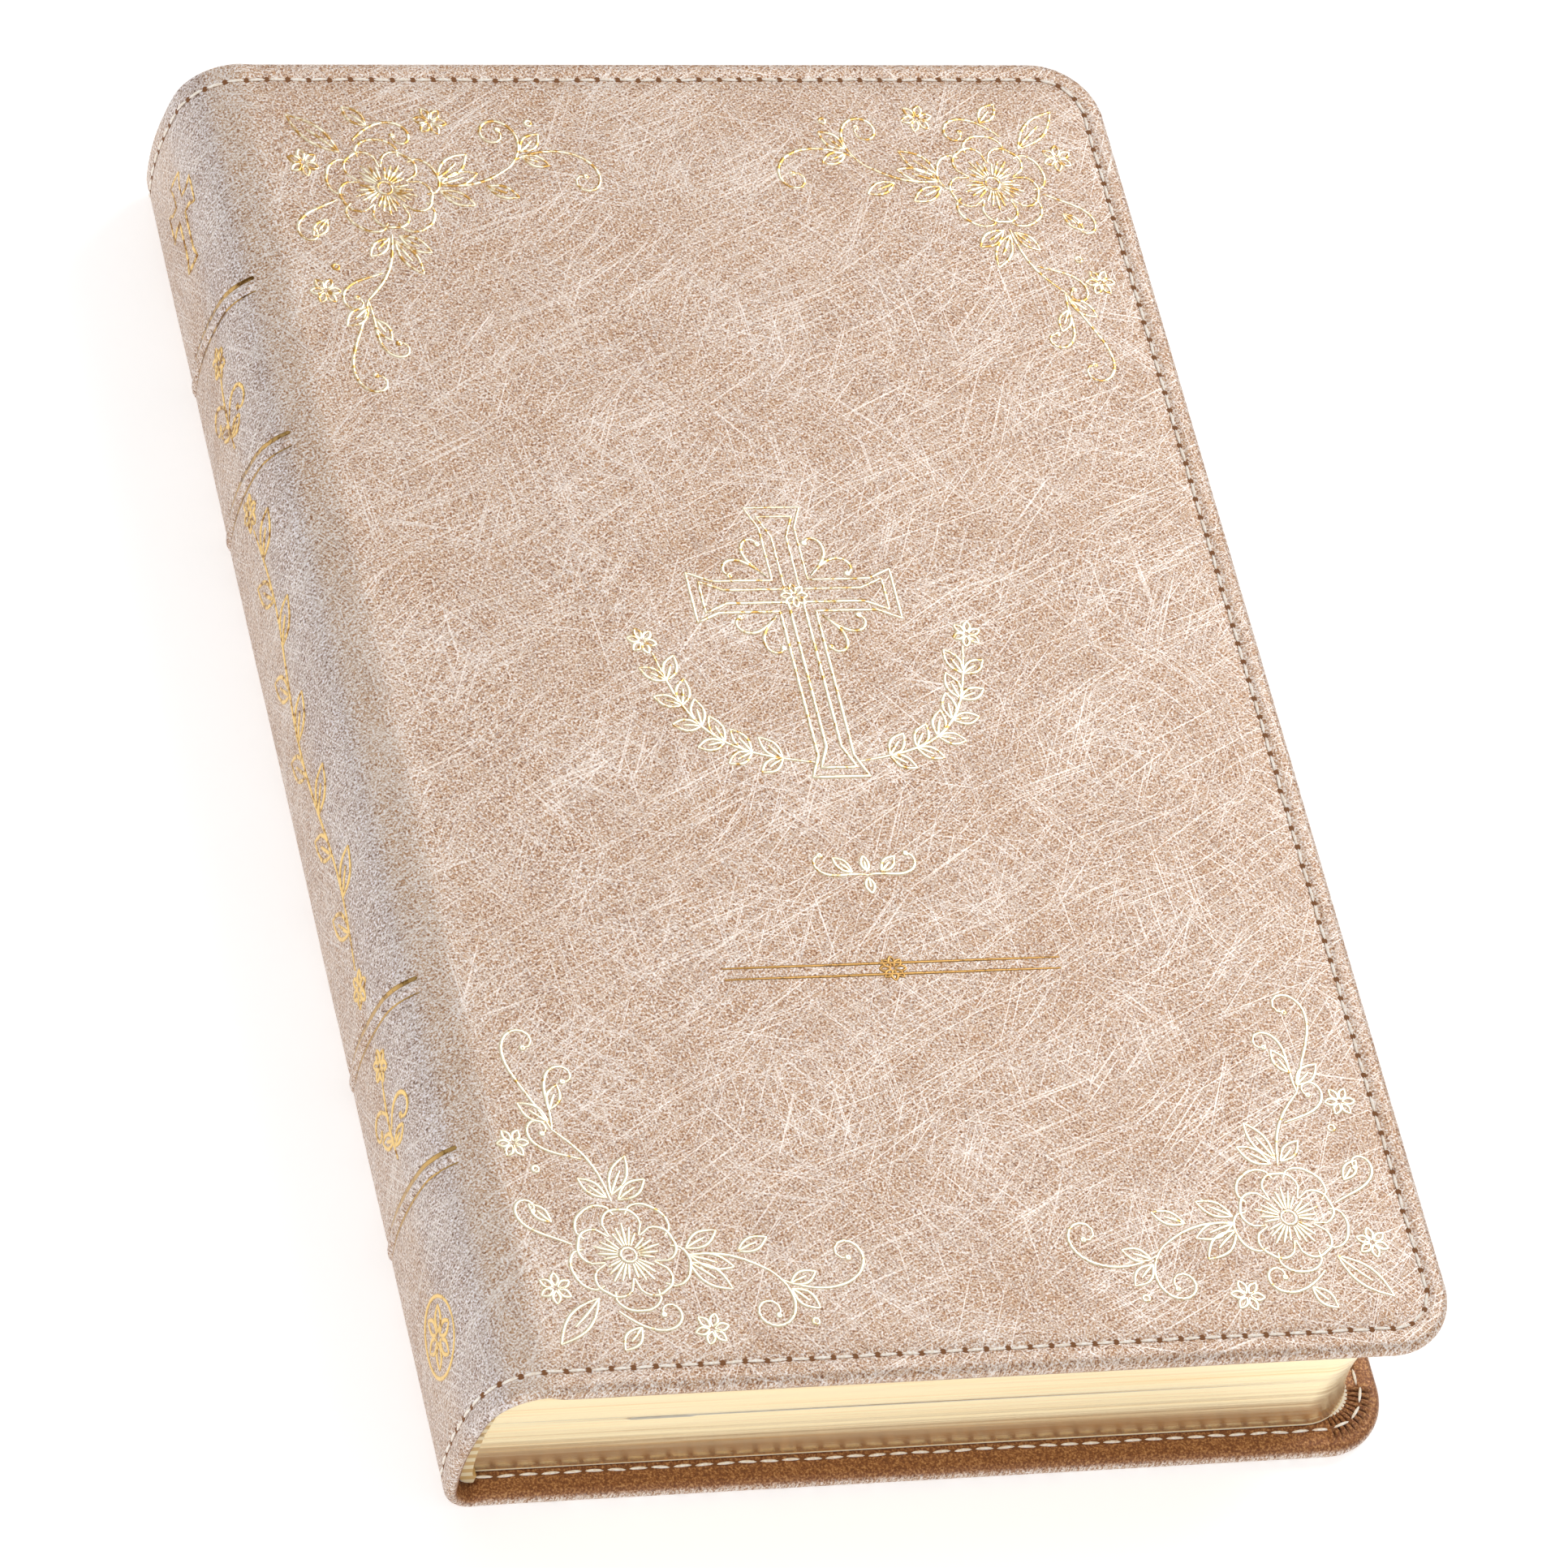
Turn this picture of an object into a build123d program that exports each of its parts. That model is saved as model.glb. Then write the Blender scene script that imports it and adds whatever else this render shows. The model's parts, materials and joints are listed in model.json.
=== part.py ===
"""A soft-cover Bible with a rounded spine, lying closed on its back cover.

+X runs from the spine to the fore edge, +Y from the tail to the head and +Z from the back cover to the
front cover. The origin is the middle of the footprint, on the surface that the book lies on.

The case is one sheet of imitation leather, turned in over thin boards and sewn round its edge. The text
block is sewn from folded signatures, lined on the spine and hung in the case. The spine's layers bend in
use, so each is made in two halves that meet at the fold line, half way up the spine.
"""
import math
import os

from build123d import *

# The closed book.
book_height = 222.0
book_width = 142.0
book_thickness = 31.0

# The case, from the outside in.
skin = 0.9
board = 1.0
turn_in_width = 15.0
edge_wrap = 1.0
edge_roll = 1.2
cover_corner = 10.0
spine_turn_in_width = 11.0
spine_card = 0.8
pastedown = 0.15

# The spine's outside: a shallow belly between two shoulders.
belly_radius = 60.0
front_shoulder = 9.0
back_shoulder = 5.0

# The text block.
square_ends = 4.2
square_fore = 5.0
page_corner = 8.0
fore_hollow = 2.2
signatures_a_half = 12
flyleaf = 0.15
hollow_gap = 0.2
kraft_liner = 0.2
mull = 0.2
glue = 0.2
sewing_stations = 6
sewing_width = 1.2
band_bead = 1.8
band_height = 1.4

# What lies at the fold line, between the two halves of the block.
loose_leaves = 3
leaf = 0.08
leaf_space = 0.06
ribbon_width = 7.0
ribbon = 0.15
ribbon_at_head = 6.0
ribbon_at_tail = 30.0
ribbon_short_of_tail = 0.6

# Seams and pressed lines.
seam_inset = 3.4
seam_width = 0.5
seam_depth = 0.3
groove_width = 0.6
spine_band_places = (45.5, 72.5)
spine_band_width = 2.6
spine_band_depth = 0.25

# Clearances.
fit = 0.1
hinge_gap = 0.3
board_to_hinge = 2.0
paper_margin = 1.0

# How far a cutter runs past what it cuts, and the least radius left at an inset corner.
past = 1.0
least_corner = 1.0

# Places that follow from the sizes above.
spine_x = -book_width / 2
fore_x = book_width / 2
end_y = book_height / 2
fold_z = book_thickness / 2
hem = skin
cover = skin + board + hem
spine_case = skin + hem
block_depth = spine_case + hollow_gap + kraft_liner + mull + glue
block_end_y = end_y - square_ends
block_fore_x = fore_x - square_fore
leaf_stack = loose_leaves * (leaf + leaf_space) + leaf_space
fold_gap = leaf_stack + ribbon + leaf_space
rear_top_z = fold_z - fold_gap / 2
front_bottom_z = fold_z + fold_gap / 2


def shoulder_place(radius):
    """Angle where the belly meets a shoulder, and the x of that shoulder's centre."""
    angle = math.asin((fold_z - radius) / (belly_radius - radius))
    return angle, spine_x + belly_radius - (belly_radius - radius) * math.cos(angle)


front_angle, front_tangent_x = shoulder_place(front_shoulder)
back_angle, back_tangent_x = shoulder_place(back_shoulder)
front_hinge_x = front_tangent_x


def block(low, high):
    """A box from its low corner to its high corner."""
    size = [h - l for l, h in zip(low, high)]
    middle = [(h + l) / 2 for l, h in zip(low, high)]
    return Pos(*middle) * Box(*size)


def inside_of(depth, half_length):
    """Everything inside the spine's outer surface by a depth, out to the middle of the book."""
    belly = (spine_x + belly_radius, fold_z)
    reach = belly_radius - depth

    def on_belly(angle):
        return (belly[0] - reach * math.cos(angle), belly[1] + reach * math.sin(angle))

    def on_shoulder(x, z, radius, degrees):
        turn = math.radians(degrees)
        return (x + (radius - depth) * math.cos(turn), z + (radius - depth) * math.sin(turn))

    front_middle = 135 - math.degrees(front_angle) / 2
    back_middle = 225 + math.degrees(back_angle) / 2
    front_centre = (front_tangent_x, book_thickness - front_shoulder)
    back_centre = (back_tangent_x, back_shoulder)
    top = (front_tangent_x, book_thickness - depth)
    bottom = (back_tangent_x, depth)
    outline = [
        ThreePointArc(top, on_shoulder(*front_centre, front_shoulder, front_middle), on_belly(front_angle)),
        ThreePointArc(on_belly(front_angle), on_belly(0), on_belly(-back_angle)),
        ThreePointArc(on_belly(-back_angle), on_shoulder(*back_centre, back_shoulder, back_middle), bottom),
        Polyline(bottom, (0, depth), (0, book_thickness - depth), top),
    ]
    face = make_face(Plane.XZ * Curve(outline))
    return extrude(face, amount=half_length, both=True)


def spine_layer(outer, inner, low_y, high_y):
    """The layer of the spine between two depths, cut to a stretch of Y and to the spine's own width."""
    layer = inside_of(outer, end_y) - inside_of(inner, end_y)
    return layer & block((spine_x - past, low_y, 0), (front_tangent_x, high_y, book_thickness))


def front_half(shape):
    """The part of a spine layer in front of the fold line, clear of the front cover's hinge."""
    high_x = front_hinge_x - hinge_gap / 2
    return shape & block((spine_x - past, -end_y, front_bottom_z), (high_x, end_y, book_thickness))


def rear_half(shape):
    """The part of a spine layer behind the fold line, up to the back cover."""
    return shape & block((spine_x - past, -end_y, 0), (back_tangent_x, end_y, rear_top_z))


def sheet(start_x, inset, low_z, high_z):
    """A flat sheet of the cover's outline, drawn in from its three free edges by an inset."""
    high_x, high_y = fore_x - inset, end_y - inset
    plate = block((start_x, -high_y, low_z), (high_x, high_y, high_z))
    corners = plate.edges().filter_by(Axis.Z).group_by(Axis.X)[-1]
    return fillet(corners, max(cover_corner - inset, least_corner))


def seam_line(start_x, width, low_z, high_z):
    """The line of the edge seam, as a strip of a width round the three free edges."""
    outside = sheet(start_x, seam_inset - width / 2, low_z, high_z)
    return outside - sheet(start_x - past, seam_inset + width / 2, low_z - past, high_z + past)


def cover_pieces(start_x):
    """One cover, lying with its outer face down at z 0: skin, board, infill, pastedown and seam."""
    board_x = start_x + board_to_hinge
    body = sheet(start_x, 0, 0, cover)
    faces = body.faces().sort_by(Axis.Z)
    rolled = [edge for face in (faces[0], faces[-1]) for edge in face.edges()]
    body = fillet([edge for edge in rolled if edge.center().X > start_x + fit], edge_roll)
    body -= sheet(board_x, edge_wrap, skin, skin + board)
    body -= sheet(board_x, turn_in_width, skin, cover + past)
    body -= seam_line(start_x - past, groove_width, -past, seam_depth)
    body -= seam_line(start_x - past, groove_width, cover - seam_depth, cover + past)
    face_seam = seam_line(start_x, seam_width, 0, seam_depth)
    inner_seam = seam_line(start_x, seam_width, cover - seam_depth, cover)
    paper_inset = square_ends + paper_margin
    return {
        "skin": body,
        "board": sheet(board_x + fit, edge_wrap + fit, skin, skin + board),
        "infill": sheet(board_x + fit, turn_in_width + fit, skin + board, cover),
        "pastedown": sheet(board_x, paper_inset, cover, cover + pastedown),
        "edge_seam": Compound(children=[face_seam, inner_seam]),
    }


def fore_edge(z):
    """x of the fore edge at a height: hollowed half way up, as a rounded spine leaves it."""
    from_fold = (z - fold_z) / (fold_z - cover - pastedown)
    return block_fore_x - fore_hollow * (1 - from_fold**2)


def page_stack(low_z, high_z):
    """A slab of the trimmed text block: its spine edge follows the spine, its fore corners are round."""
    low_x, high_x = fore_edge(low_z), fore_edge(high_z)
    length = low_x - spine_x
    face = Pos(spine_x + length / 2, 0, low_z) * Rectangle(length, 2 * block_end_y)
    face = fillet(face.vertices().group_by(Axis.X)[-1], page_corner)
    slant = Vector(high_x - low_x, 0, high_z - low_z)
    slab = extrude(face, amount=slant.length, dir=slant.normalized())
    spine_part = slab & inside_of(block_depth, end_y)
    fore_part = slab & block((0, -end_y, 0), (fore_x, end_y, book_thickness))
    return spine_part + fore_part


def signatures(low_z, high_z):
    """Folded signatures of even thickness that fill a height, from the front of the book to the back."""
    pitch = (high_z - low_z) / signatures_a_half
    levels = [high_z - pitch * n for n in range(signatures_a_half)]
    return [page_stack(top - pitch, top) for top in levels]


def sewing(depth):
    """The thread's runs across the signatures' folds, one at each sewing station."""
    spacing = 2 * block_end_y / (sewing_stations + 1)
    places = [-block_end_y + spacing * (n + 1) for n in range(sewing_stations)]
    half = sewing_width / 2
    return [spine_layer(depth, depth + glue, y - half, y + half) for y in places]


def end_band(end):
    """The corded bead at the head (end 1) or the tail (end -1) of the block's spine."""
    low, high = sorted((end * block_end_y, end * (block_end_y + band_height)))
    return spine_layer(block_depth - glue, block_depth - glue + band_bead, low, high)


def spine_bands():
    """The pressed lines across the spine."""
    places = [side * place for side in (-1, 1) for place in spine_band_places]
    half = spine_band_width / 2
    return [spine_layer(-past, spine_band_depth, y - half, y + half) for y in places]


def spine_skin():
    """The skin over the spine, with its turned-in ends, seam groove and pressed lines."""
    turned = end_y - spine_turn_in_width
    body = spine_layer(0, skin, -end_y, end_y)
    body += spine_layer(skin, spine_case, turned, end_y)
    body += spine_layer(skin, spine_case, -end_y, -turned)
    for side in (-1, 1):
        line = side * (end_y - seam_inset)
        body -= spine_layer(-past, seam_depth, line - groove_width / 2, line + groove_width / 2)
    for band in spine_bands():
        body -= band
    return body


def spine_seam():
    """The seam over both ends of the spine."""
    lines = [side * (end_y - seam_inset) for side in (-1, 1)]
    half = seam_width / 2
    return [spine_layer(0, seam_depth, y - half, y + half) for y in lines]


def spine_halves():
    """Each layer of the spine, outside in, as one list of solids a layer."""
    case_end = end_y - spine_turn_in_width - fit
    liner_depth = spine_case + hollow_gap
    mull_depth = liner_depth + kraft_liner
    glue_depth = mull_depth + mull
    glue_coat = spine_layer(glue_depth, block_depth, -block_end_y, block_end_y)
    thread = sewing(glue_depth)
    for station in thread:
        glue_coat -= station
    return {
        "spine_skin": [spine_skin()],
        "spine_card": [spine_layer(skin, skin + spine_card, -case_end, case_end)],
        "spine_seam": spine_seam(),
        "kraft_liner": [spine_layer(liner_depth, mull_depth, -block_end_y, block_end_y)],
        "mull": [spine_layer(mull_depth, glue_depth, -block_end_y, block_end_y)],
        "spine_glue": [glue_coat],
        "sewing_thread": thread,
        "head_band": [end_band(1)],
        "tail_band": [end_band(-1)],
    }


def loose_leaf(number):
    """One leaf that turns by itself at the fold line."""
    low_z = rear_top_z + ribbon + 2 * leaf_space + number * (leaf + leaf_space)
    return page_stack(low_z, low_z + leaf)


def ribbon_marker():
    """The ribbon, laid flat on the rear half of the block, slanting from its root at the head."""
    head_y, tail_y = block_end_y, -block_end_y + ribbon_short_of_tail
    head_x, tail_x = spine_x + ribbon_at_head, spine_x + ribbon_at_tail
    half = ribbon_width / 2
    head = [(head_x - half, head_y), (head_x + half, head_y)]
    tail = [(tail_x + half, tail_y), (tail_x - half, tail_y)]
    outline = make_face(Polyline(*head, *tail, close=True))
    return extrude(Pos(0, 0, rear_top_z + leaf_space) * outline, amount=ribbon)


def write(name, *shapes):
    """Writes one node, as a group of separate solids if it has several."""
    solids = [solid for shape in shapes for solid in shape.solids()]
    group = solids[0] if len(solids) == 1 else Compound(children=solids)
    export_step(group, f"parts/{name}.step")


def main():
    os.makedirs("parts", exist_ok=True)

    for name, piece in cover_pieces(back_tangent_x).items():
        write(f"back_{name}", piece)
    upside_down = Plane.XY.offset(fold_z)
    for name, piece in cover_pieces(front_hinge_x + hinge_gap / 2).items():
        write(f"front_{name}", mirror(piece, about=upside_down))

    for name, layers in spine_halves().items():
        write(f"{name}_front", *[front_half(layer) for layer in layers])
        write(f"{name}_rear", *[rear_half(layer) for layer in layers])

    front_top_z = book_thickness - cover - pastedown - fit
    write("front_flyleaf", page_stack(front_top_z - flyleaf, front_top_z))
    rear_bottom_z = cover + pastedown
    write("back_flyleaf", page_stack(rear_bottom_z, rear_bottom_z + flyleaf))

    gathered = signatures(front_bottom_z, front_top_z - flyleaf)
    gathered += signatures(rear_bottom_z + flyleaf, rear_top_z)
    for number, signature in enumerate(gathered, start=1):
        write(f"signature_{number:02d}", signature)

    for number in range(loose_leaves):
        write(f"loose_leaf_{number + 1}", loose_leaf(number))
    write("ribbon_marker", ribbon_marker())


main()
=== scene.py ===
# %% [markdown]
# # A soft-cover Bible with a sewn edge, foil flowers and gilt pages
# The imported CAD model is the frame: it says where each body is and how it turns. This lesson gives the
# book its leather, sewing, foil and pages. Lengths in the helpers are millimetres, as a binder works,
# and one function at the end of each piece puts them on the book in metres.

# %% Load the frame
import json
import math
import random

import bmesh
import bpy
from mathutils import Matrix, Vector, noise


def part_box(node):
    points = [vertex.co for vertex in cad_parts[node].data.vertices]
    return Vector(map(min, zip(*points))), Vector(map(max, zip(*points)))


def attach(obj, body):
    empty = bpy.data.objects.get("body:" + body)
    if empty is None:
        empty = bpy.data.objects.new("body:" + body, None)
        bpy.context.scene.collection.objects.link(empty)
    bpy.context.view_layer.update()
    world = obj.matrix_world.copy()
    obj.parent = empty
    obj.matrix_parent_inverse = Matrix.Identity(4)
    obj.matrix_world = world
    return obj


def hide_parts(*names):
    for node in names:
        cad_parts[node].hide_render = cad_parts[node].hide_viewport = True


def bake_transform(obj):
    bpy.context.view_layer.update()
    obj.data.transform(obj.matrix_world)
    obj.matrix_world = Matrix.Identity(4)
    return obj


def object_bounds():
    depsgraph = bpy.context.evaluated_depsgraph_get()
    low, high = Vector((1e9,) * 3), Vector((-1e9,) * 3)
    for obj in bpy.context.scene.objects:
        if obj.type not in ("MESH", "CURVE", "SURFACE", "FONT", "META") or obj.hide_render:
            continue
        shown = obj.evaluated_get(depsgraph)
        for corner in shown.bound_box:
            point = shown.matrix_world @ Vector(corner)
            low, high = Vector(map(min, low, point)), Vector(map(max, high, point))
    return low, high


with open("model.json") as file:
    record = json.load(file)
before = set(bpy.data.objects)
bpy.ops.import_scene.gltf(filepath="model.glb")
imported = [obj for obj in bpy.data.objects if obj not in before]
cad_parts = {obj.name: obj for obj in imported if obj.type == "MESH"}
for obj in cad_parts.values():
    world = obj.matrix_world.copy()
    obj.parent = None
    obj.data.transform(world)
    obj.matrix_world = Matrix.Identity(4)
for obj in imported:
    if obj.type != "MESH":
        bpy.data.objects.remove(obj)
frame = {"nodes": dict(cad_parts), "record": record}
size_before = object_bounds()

MM = 0.001
print("size of the frame, mm:", [[round(c / MM, 2) for c in corner] for corner in size_before])

# %% [markdown]
# ## The case, opened flat
# A case is made flat: the maker cuts, turns in, sews and foils it on the bench, and only then wraps it
# round the pages. The same order works here. Every piece of the case is modelled flat, with x as the
# way round the book from the fold line, y along the spine and z above the leather. `on_book` then wraps
# each point round the spine. The stitches and the foil follow the leather this way without any fitting.

# %% The book's end profile
(LEFT, TAIL, BOTTOM), (RIGHT, HEAD, TOP) = [[c / MM for c in corner] for corner in size_before]
HALF = (TOP - BOTTOM) / 2  # from the fold line to either cover's face
BELLY = 60.0  # radius of the rounded spine
SHOULDER = {1: 9.0, -1: 5.0}  # radius from spine to cover: 1 is the front, -1 the back
COVER, SPINE = 2.8, 1.8  # thickness of the turned-in cover and of the spine's leather
MIDDLE = LEFT + BELLY  # centre of the spine's round


def shoulder_arc(side):
    """The arc from spine to cover: its radius, the angle where it starts and the x of its centre."""
    radius = SHOULDER[side]
    turn = math.asin((HALF - radius) / (BELLY - radius))
    return radius, turn, MIDDLE - (BELLY - radius) * math.cos(turn)


def case_profile(way):
    """The outer face `way` mm round from the fold line: its x, its height over the fold, and which way
    it faces."""
    side = 1 if way > 0 else -1
    radius, turn, pivot = shoulder_arc(side)
    shoulder = BELLY * turn
    cover = shoulder + radius * (math.pi / 2 - turn)
    way = abs(way)
    if way <= shoulder:
        angle, centre, lift, reach = way / BELLY, MIDDLE, 0, BELLY
    elif way <= cover:
        angle, centre, lift, reach = turn + (way - shoulder) / radius, pivot, HALF - radius, radius
    else:
        return pivot + way - cover, side * HALF, (0, side)
    x, z = centre - reach * math.cos(angle), lift + reach * math.sin(angle)
    return x, side * z, (-math.cos(angle), side * math.sin(angle))


def way_to_cover(side):
    """How far round from the fold line a cover's flat face starts."""
    radius, turn, _ = shoulder_arc(side)
    return side * (BELLY * turn + radius * (math.pi / 2 - turn))


def way_to_edge(side):
    """How far round from the fold line a cover's fore edge is."""
    x = case_profile(way_to_cover(side))[0]
    return way_to_cover(side) + side * (RIGHT - x)


FRONT_EDGE, BACK_EDGE = way_to_edge(1), way_to_edge(-1)
print(f"flat case: {FRONT_EDGE - BACK_EDGE:.1f} x {HEAD - TAIL:.1f} mm")

# %% [markdown]
# ## What the leather does between the seams
# Soft leather over thin card is never quite flat: it ripples by a tenth of a millimetre or so, which is
# what makes light drift across it. The spine also has four raised bands, each pressed between two
# grooves. Both are one height function, so whatever lies on the leather rises and falls with it.

# %% Height of the leather
BANDS = (-72.5, -45.5, 45.5, 72.5)
BAND_ENDS = (-15.0, 15.0)
BAND_RISE, GROOVE_DEPTH, RIPPLE = 0.30, 0.36, 0.10
UPPER_GROOVE, LOWER_GROOVE = (1.20, 0.58), (-1.10, 0.36)  # place from the band's middle, and width


def smooth(low, high, value):
    """Goes gently from 0 at low to 1 at high, whichever of the two is larger."""
    t = min(1, max(0, (value - low) / (high - low)))
    return t * t * (3 - 2 * t)


def dip(across, groove):
    """How much of a groove's depth is reached here, from 0 to 1."""
    place, width = groove
    return math.exp(-(((across - place) / width) ** 2))


def leather_height(way, along):
    """How far the leather stands above its true face. On the back cover, which lies on the table, it
    only ever dips."""
    swell = noise.noise(Vector((way / 26, along / 31, 0.3)))
    swell += 0.5 * noise.noise(Vector((way / 9, along / 13, 4)))
    edge = min(way - BACK_EDGE, FRONT_EDGE - way, along - TAIL, HEAD - along)
    height = RIPPLE * swell * smooth(4, 14, edge)
    if way < way_to_cover(-1):
        height = -abs(height)
    low, high = BAND_ENDS
    for band in BANDS:
        across = along - band
        if abs(across) < 3:
            on = smooth(low - 0.4, low, way) * smooth(high + 0.4, high, way)
            grooves = dip(across, UPPER_GROOVE) + 0.7 * dip(across, LOWER_GROOVE)
            height += on * (BAND_RISE * smooth(1.0, 0.3, abs(across)) - GROOVE_DEPTH * grooves)
    return height


def on_book(point):
    """Takes a point of the flat case to its place on the book, in metres."""
    x, lift, face = case_profile(point.x)
    return Vector((x + face[0] * point.z, point.y, lift + face[1] * point.z + HALF + BOTTOM)) * MM


# %% [markdown]
# ## Pieces cut in two
# The leather crosses two joints: the fold line in the middle of the spine, and the front cover's hinge.
# A blend works across one joint, so each flat piece is cut between the two into a rear and a front part,
# and both are wrapped onto the book; this script ties neither to a joint. The cut runs round the spine
# where nothing bends, and the parts meet without a step.

# %% Finish a flat piece of the case
CUT = 5.0
fold = {j["name"]: Vector(j["pos_m"]) for j in frame["record"]["behaviour"]["joints"]}
FOLD, HINGE = fold["block_opening"], fold["front_cover_hinge"]


def whole(bm):
    """All of a bmesh, as its operators take it."""
    return bm.verts[:] + bm.edges[:] + bm.faces[:]


def border(geometry):
    """The edges of some geometry that have a face on one side only."""
    return [e for e in geometry if isinstance(e, bmesh.types.BMEdge) and e.is_boundary]


def piece(bm, name, *materials, smoothed=0.7):
    """Makes an object of a finished bmesh, with edges sharper than `smoothed` radians kept crisp."""
    for face in bm.faces:
        face.smooth = True
    for edge in bm.edges:
        edge.smooth = edge.calc_face_angle(0) < smoothed
    mesh = bpy.data.meshes.new(name)
    bm.to_mesh(mesh)
    bm.free()
    made = bpy.data.objects.new(name, mesh)
    bpy.context.collection.objects.link(made)
    for material in materials:
        mesh.materials.append(material)
    return made


def wrap_and_bend(flat, name, *materials, thickness=0.0, smoothed=0.7):
    """Cuts a flat piece of the case in two and wraps both parts round the book; neither is tied to a joint.
    """
    parts = []
    for part, keep_front in (("rear", False), ("front", True)):
        bm = flat.copy()
        cut = bmesh.ops.bisect_plane(bm, geom=whole(bm), plane_co=(CUT, 0, 0), plane_no=(1, 0, 0),
                                     clear_inner=keep_front, clear_outer=not keep_front)
        if not bm.faces:
            bm.free()
            continue
        if thickness:
            bmesh.ops.solidify(bm, geom=bm.faces[:], thickness=thickness)
        else:
            bmesh.ops.holes_fill(bm, edges=border(cut["geom_cut"]), sides=0)
        lay = bm.verts.layers.float_vector.new("flat")
        for v in bm.verts:
            v[lay] = v.co * MM
            v.co = on_book(v.co)
        made = piece(bm, f"{name}_{part}", *materials, smoothed=smoothed)
        if keep_front:
            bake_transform(made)
        else:
            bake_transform(made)
        parts.append(made)
    flat.free()
    return parts


# %% [markdown]
# ## Materials
# Each finish is a node tree built by one small function that adds a node with its settings and links.
# Hex colours are what the eye sees; Cycles wants them linear, so one function converts them.

# %% Helpers for the materials
def linear(hex_colour):
    """An sRGB hex colour as linear RGBA."""
    parts = [int(hex_colour[n:n + 2], 16) / 255 for n in (1, 3, 5)]
    return [c / 12.92 if c <= 0.04045 else ((c + 0.055) / 1.055) ** 2.4 for c in parts] + [1.0]


def plug(tree, value, socket):
    """Links an output into a socket, or sets the socket's value. A node stands for its first output."""
    if isinstance(value, bpy.types.Node):
        value = value.outputs[0]
    if isinstance(value, bpy.types.NodeSocket):
        tree.links.new(value, socket)
    else:
        socket.default_value = value


def add(tree, kind, settings=None, sockets=None):
    """Adds a node. A socket is given a value, or what feeds it; `ramp` sets a colour ramp's stops."""
    made = tree.nodes.new("ShaderNode" + kind)
    for key, value in (settings or {}).items():
        if key == "ramp":
            while len(made.color_ramp.elements) < len(value):
                made.color_ramp.elements.new(0.5)
            for stop, (place, colour) in zip(made.color_ramp.elements, value):
                stop.position = place
                stop.color = linear(colour) if isinstance(colour, str) else [colour] * 3 + [1]
        else:
            setattr(made, key, value)
    for key, value in (sockets or {}).items():
        plug(tree, value, made.inputs[key])
    return made


def material(name):
    """A new material, its tree and its shader."""
    made = bpy.data.materials.new(name)
    made.use_nodes = True
    return made, made.node_tree, made.node_tree.nodes["Principled BSDF"]


def feed(tree, node, **sockets):
    """Does the same for a shader's sockets, by name; `_` stands for a space."""
    for key, value in sockets.items():
        plug(tree, value, node.inputs[key.replace("_", " ")])


# %% [markdown]
# ### Pearl imitation leather
# The cover is polyurethane on a fabric back, printed with a pearl ink and embossed with fine scratches
# that cross in every direction. The pearl is part metallic, so the face goes from rose-beige to almost
# white as it turns to the light. The scratches are noise stretched a hundred to one and cut to its
# crests. Most run in one sweep and the rest cross it. Real scratches are near 0.1 mm wide and the grain
# is finer than that; both are drawn at 0.2 to 0.4 mm, or neither would show. Round the spine the colour is
# painted greyer, as painted shade where the spine turns away from the light, and over the front shoulder it
# is painted paler, as painted light. The turned-in side is the same leather painted bronze brown: painted
# shade and a painted reflection of the gilt pages, darker still in the valleys of the pleats.

# %% Leather
def scratches(tree, where, headings, width, length, crest):
    """Fine straight lines at several headings, from 0 to 1."""
    lines = 0.0
    for n, heading in enumerate(headings):
        turned = add(tree, "Mapping", {}, {"Vector": where, "Rotation": (0, 0, -heading)})
        drawn = add(tree, "Mapping", {}, {"Vector": turned, "Scale": (1 / length, 1 / width, 1),
                                          "Location": (7.3 * n, 11.1 * n, 0)})
        cloud = add(tree, "TexNoise", {"noise_dimensions": "2D"},
                    {"Vector": drawn, "Scale": 1.0, "Detail": 1.0, "Roughness": 0.4})
        cut = add(tree, "MapRange", {}, {"Value": cloud, "From Min": crest, "From Max": crest + 0.07})
        lines = add(tree, "Math", {"operation": "MAXIMUM"}, {0: lines, 1: cut})
    return lines


def toned(tree, factor, under, over, share=1.0):
    """One colour over another, as far as a factor and its share say."""
    part = add(tree, "Math", {"operation": "MULTIPLY"}, {0: factor, 1: share})
    return add(tree, "Mix", {"data_type": "RGBA"}, {0: part, 6: under, 7: over}).outputs[2]


BEIGE = [(0.40, "#76503A"), (0.465, "#B88358"), (0.53, "#C3A384"), (0.585, "#D3B99F"), (0.66, "#F2E9E6")]
# The grey ramp is painted shade, used round the spine.
SHADED_SPINE_GREY = [(0.40, "#54443F"), (0.465, "#9A8072"), (0.53, "#BBA89D"), (0.585, "#CDC0BE"), (0.66, "#F3EDF4")]


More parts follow.
